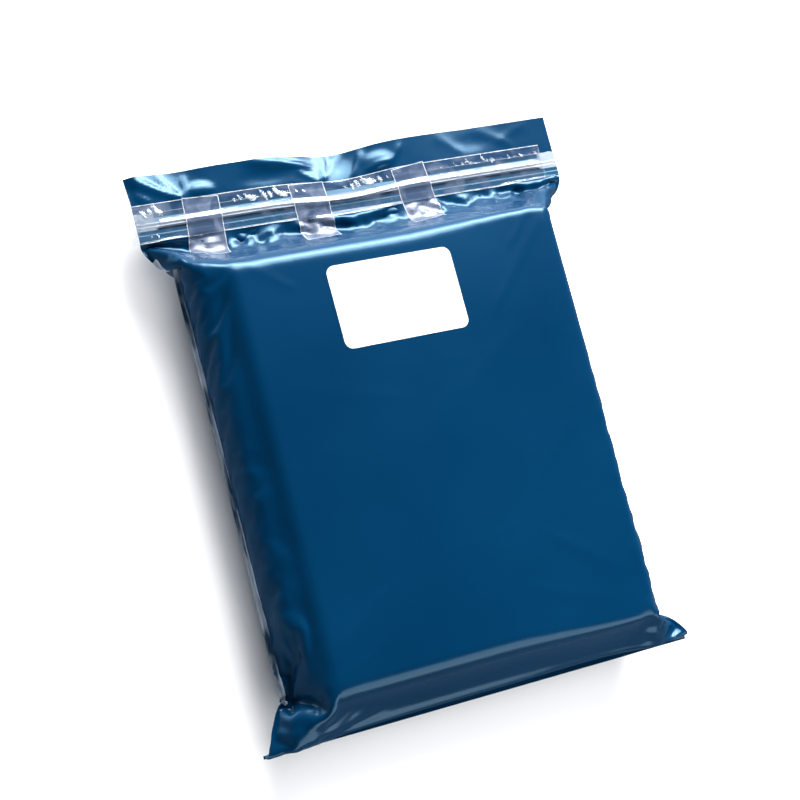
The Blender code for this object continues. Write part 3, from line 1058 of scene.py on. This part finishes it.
def make_label():
    half_width, half_height = label_size[0] / 2, label_size[1] / 2
    turn = np.linspace(0, math.pi / 2, 9)
    end = half_height - LABEL_CORNER + LABEL_CORNER * np.sin(turn)
    rows = np.concatenate([-end[::-1], np.linspace(-end[0], end[0], 34)[1:-1], end])
    past = np.clip(np.abs(rows) - (half_height - LABEL_CORNER), 0, LABEL_CORNER)
    reach = half_width - LABEL_CORNER + np.sqrt(LABEL_CORNER**2 - past**2)
    u = np.linspace(-1, 1, 70)[None, :] * reach[:, None] + (label_low.x + label_high.x) / 2 - POUCH_X
    y = np.broadcast_to(rows[:, None], u.shape) + (label_low.y + label_high.y) / 2
    low = np.full_like(u, LABEL_LIFT)
    return stick_on("blank_label", u, front_v_of(y), low, low + LABEL_THICK)


blank_label = make_label()
print("label:", " x ".join(str(round(side / MM, 1)) for side in label_size), "mm")

# %% [markdown]
# ## Clear plastics
#
# Clear tape isn't invisible. It shows by its gloss, by its cut edges, and by milky patches where the glue
# hasn't wetted the film. So its see-through value is a mask and not one number: low where the tape lies
# flat, higher where it bridges or wrinkles.


# %% Finish of the clear tapes
SHOULDER_Y = tape_low.y - 0.001


def tape_material(name, clear, milky, on_shoulder):
    """Clear film whose see-through value rises in milky patches, and again where it leaves the flap."""
    made, nodes, links, shader = principled(name)
    split = nodes.new("ShaderNodeSeparateXYZ")
    links.new(nodes.new("ShaderNodeTexCoord").outputs["Object"], split.inputs[0])
    left_flap = remap(nodes, links, split.outputs["Y"], (SHOULDER_Y, SHOULDER_Y - 0.0015))
    mask = add_patches(nodes, 85.0, 0.46, 0.80, detail=5.0, distortion=0.6)
    tone = two_tones(nodes, links, mask, (0.09, 0.14, 0.25), (0.34, 0.40, 0.54))
    links.new(tone, shader.inputs["Base Color"])
    veil = remap(nodes, links, mask, (0.0, 1.0), (clear, milky))
    raised = combine(nodes, links, "MULTIPLY_ADD", left_flap, on_shoulder, veil)
    links.new(raised, shader.inputs["Alpha"])
    dull = remap(nodes, links, left_flap, (0.0, 1.0), (0.12, 0.42))
    links.new(dull, shader.inputs["Roughness"])
    shader.inputs["IOR"].default_value = 1.9
    shader.inputs["Specular IOR Level"].default_value = 0.8
    add_bump(nodes, links, add_creases(nodes, 60.0, 160.0, 0.25), 0.35, 0.0008, shader)
    return made


def white_plastic(name, colour, roughness, patches, veil):
    """A pale finish that is broken up by patches, as light scattered at a cut edge is. In a pleat it is
    milkiness with a painted highlight.
    """
    made, nodes, links, shader = principled(name)
    alpha = remap(nodes, links, add_patches(nodes, *patches), (0.0, 1.0), veil)
    links.new(alpha, shader.inputs["Alpha"])
    shader.inputs["Base Color"].default_value = (*colour, 1)
    shader.inputs["Roughness"].default_value = roughness
    return made


cut_edge = white_plastic("cut edge of tape", (0.88, 0.93, 0.98), 0.25, (400.0, 0.35, 0.65), (0.30, 0.85))
# The pleats' pale finish is the lifted tape's milkiness together with a painted highlight.
pleat_milk_and_highlight = white_plastic("milky pleats with painted highlight", (0.66, 0.74, 0.82), 0.15, (260.0, 0.40, 0.60), (0.25, 0.90))
clear_tape = tape_material("clear tape", 0.08, 0.34, 0.0)
finish_with_edges(
    long_clear_tape, LONG_ROWS, LONG_COLUMNS, clear_tape, cut_edge, pleated_cells, pleat_milk_and_highlight
)
milky_tape = tape_material("clear tape, milky", 0.40, 0.62, 0.10)
for piece in cross_tapes.values():
    finish_with_edges(piece, CROSS_ROWS, CROSS_COLUMNS, milky_tape, cut_edge)
print("tape finishes:", clear_tape.name, "and", milky_tape.name)

# %% [markdown]
# The zip is one extrusion, so its finish is a set of bands across its width: clear flanges, with a pale
# line at the lower edge that is a painted highlight, fine guide lines, a black band under the ribs that is
# a painted shadow, the white ribs, brightened as painted highlight, and a pale band above them. Its two
# ends were crushed flat and have turned white all over. One ramp holds the bands' colours, and one their
# see-through values.


# %% Finish of the zip
ZIP_BANDS_AND_PAINTED_LIGHT = (
    # share across the strip, colour, see-through value
    # painted highlight: the pale line at the lower edge
    (0.00, (0.60, 0.74, 0.84), 0.80),
    (0.03, (0.02, 0.12, 0.24), 0.40),
    (0.20, (0.02, 0.12, 0.24), 0.40),
    (0.23, (0.30, 0.48, 0.62), 0.60),
    (0.26, (0.02, 0.12, 0.24), 0.40),
    (0.35, (0.02, 0.10, 0.20), 0.40),
    # painted shadow: the black band under the ribs
    (0.37, (0.003, 0.008, 0.02), 0.85),
    (0.43, (0.003, 0.008, 0.02), 0.90),
    # the white ribs: milky plastic, brightened as a painted highlight
    (0.45, (0.46, 0.52, 0.58), 0.95),
    (0.64, (0.46, 0.52, 0.58), 0.95),
    (0.66, (0.22, 0.42, 0.60), 0.75),
    (0.80, (0.22, 0.42, 0.60), 0.70),
    (0.83, (0.03, 0.10, 0.18), 0.20),
    (0.97, (0.03, 0.10, 0.18), 0.20),
    (1.00, (0.55, 0.68, 0.78), 0.60),
)
CRUSHED_TONE, CRUSHED_VEIL = (0.42, 0.49, 0.56, 1), (0.7, 0.7, 0.7, 1)


def zip_material():
    """Clear flanges with a painted highlight at the lower edge, a painted shadow under the ribs, white ribs
    partly brightened as painted highlight, a pale band above them, and white crushed ends.
    """
    made, nodes, links, shader = principled("milky zip")
    split = nodes.new("ShaderNodeSeparateXYZ")
    links.new(nodes.new("ShaderNodeTexCoord").outputs["Object"], split.inputs[0])
    across = remap(nodes, links, split.outputs["Y"], (zip_low.y, zip_high.y))
    tone = nodes.new("ShaderNodeValToRGB")
    veil = nodes.new("ShaderNodeValToRGB")
    for ramp, colour_of in ((tone, lambda s: (*s[1], 1)), (veil, lambda s: (s[2], s[2], s[2], 1))):
        points = ramp.color_ramp.elements
        while len(points) < len(ZIP_BANDS_AND_PAINTED_LIGHT):
            points.new(0.5)
        for point, band in zip(points, ZIP_BANDS_AND_PAINTED_LIGHT):
            point.position = band[0]
            point.color = colour_of(band)
        links.new(across, ramp.inputs["Fac"])
    off_middle = combine(nodes, links, "SUBTRACT", split.outputs["X"], POUCH_X)
    distance = combine(nodes, links, "ABSOLUTE", off_middle)
    crushed = remap(nodes, links, distance, (CRUSH_STARTS - 0.001, CRUSH_STARTS + 0.001))
    near_ribs = remap(nodes, links, across, (0.36, 0.40))
    both = combine(nodes, links, "MULTIPLY", crushed, near_ribs)
    for ramp, socket, value in ((tone, "Base Color", CRUSHED_TONE), (veil, "Alpha", CRUSHED_VEIL)):
        mixed = nodes.new("ShaderNodeMix")
        mixed.data_type = "RGBA"
        mixed.inputs["B"].default_value = value
        links.new(both, mixed.inputs["Factor"])
        links.new(ramp.outputs["Color"], mixed.inputs["A"])
        links.new(mixed.outputs["Result"], shader.inputs[socket])
    shader.inputs["Roughness"].default_value = 0.22
    add_bump(nodes, links, add_creases(nodes, 90.0, 300.0, 0.4), 0.4, 0.0008, shader)
    return made


zip_press_strip.data.materials.append(zip_material())
print("zip finish:", len(ZIP_BANDS_AND_PAINTED_LIGHT), "stops across the strip")


# %% [markdown]
# The label's coated paper is nearly matt. Its fibres give it a very faint grain, in tone and in relief.


# %% Finish of the label
def label_material():
    made, nodes, links, shader = principled("white label face")
    place = nodes.new("ShaderNodeTexCoord").outputs["Object"]
    fibres = add_noise(nodes, links, place, 900.0, detail=6.0)
    tone = two_tones(nodes, links, fibres, (0.84, 0.84, 0.85), (0.93, 0.93, 0.94))
    links.new(tone, shader.inputs["Base Color"])
    shader.inputs["Roughness"].default_value = 0.5
    add_bump(nodes, links, fibres, 0.15, 0.0001, shader)
    return made


blank_label.data.materials.append(label_material())
print("finishes done")

# %% [markdown]
# ## Handing the pieces over
#
# Each piece rides on the parcel's one body and stands for its plain solid, which is hidden.


def hand_over(piece, node):
    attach(piece, "root")
    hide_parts(node)


hand_over(mailer_pouch, "mailer_bag")
hand_over(zip_press_strip, "zip_strip")
hand_over(long_clear_tape, "closure_tape")
for node, piece in cross_tapes.items():
    hand_over(piece, node)
hand_over(blank_label, "address_label")
print("pieces handed over:", 4 + len(cross_tapes))
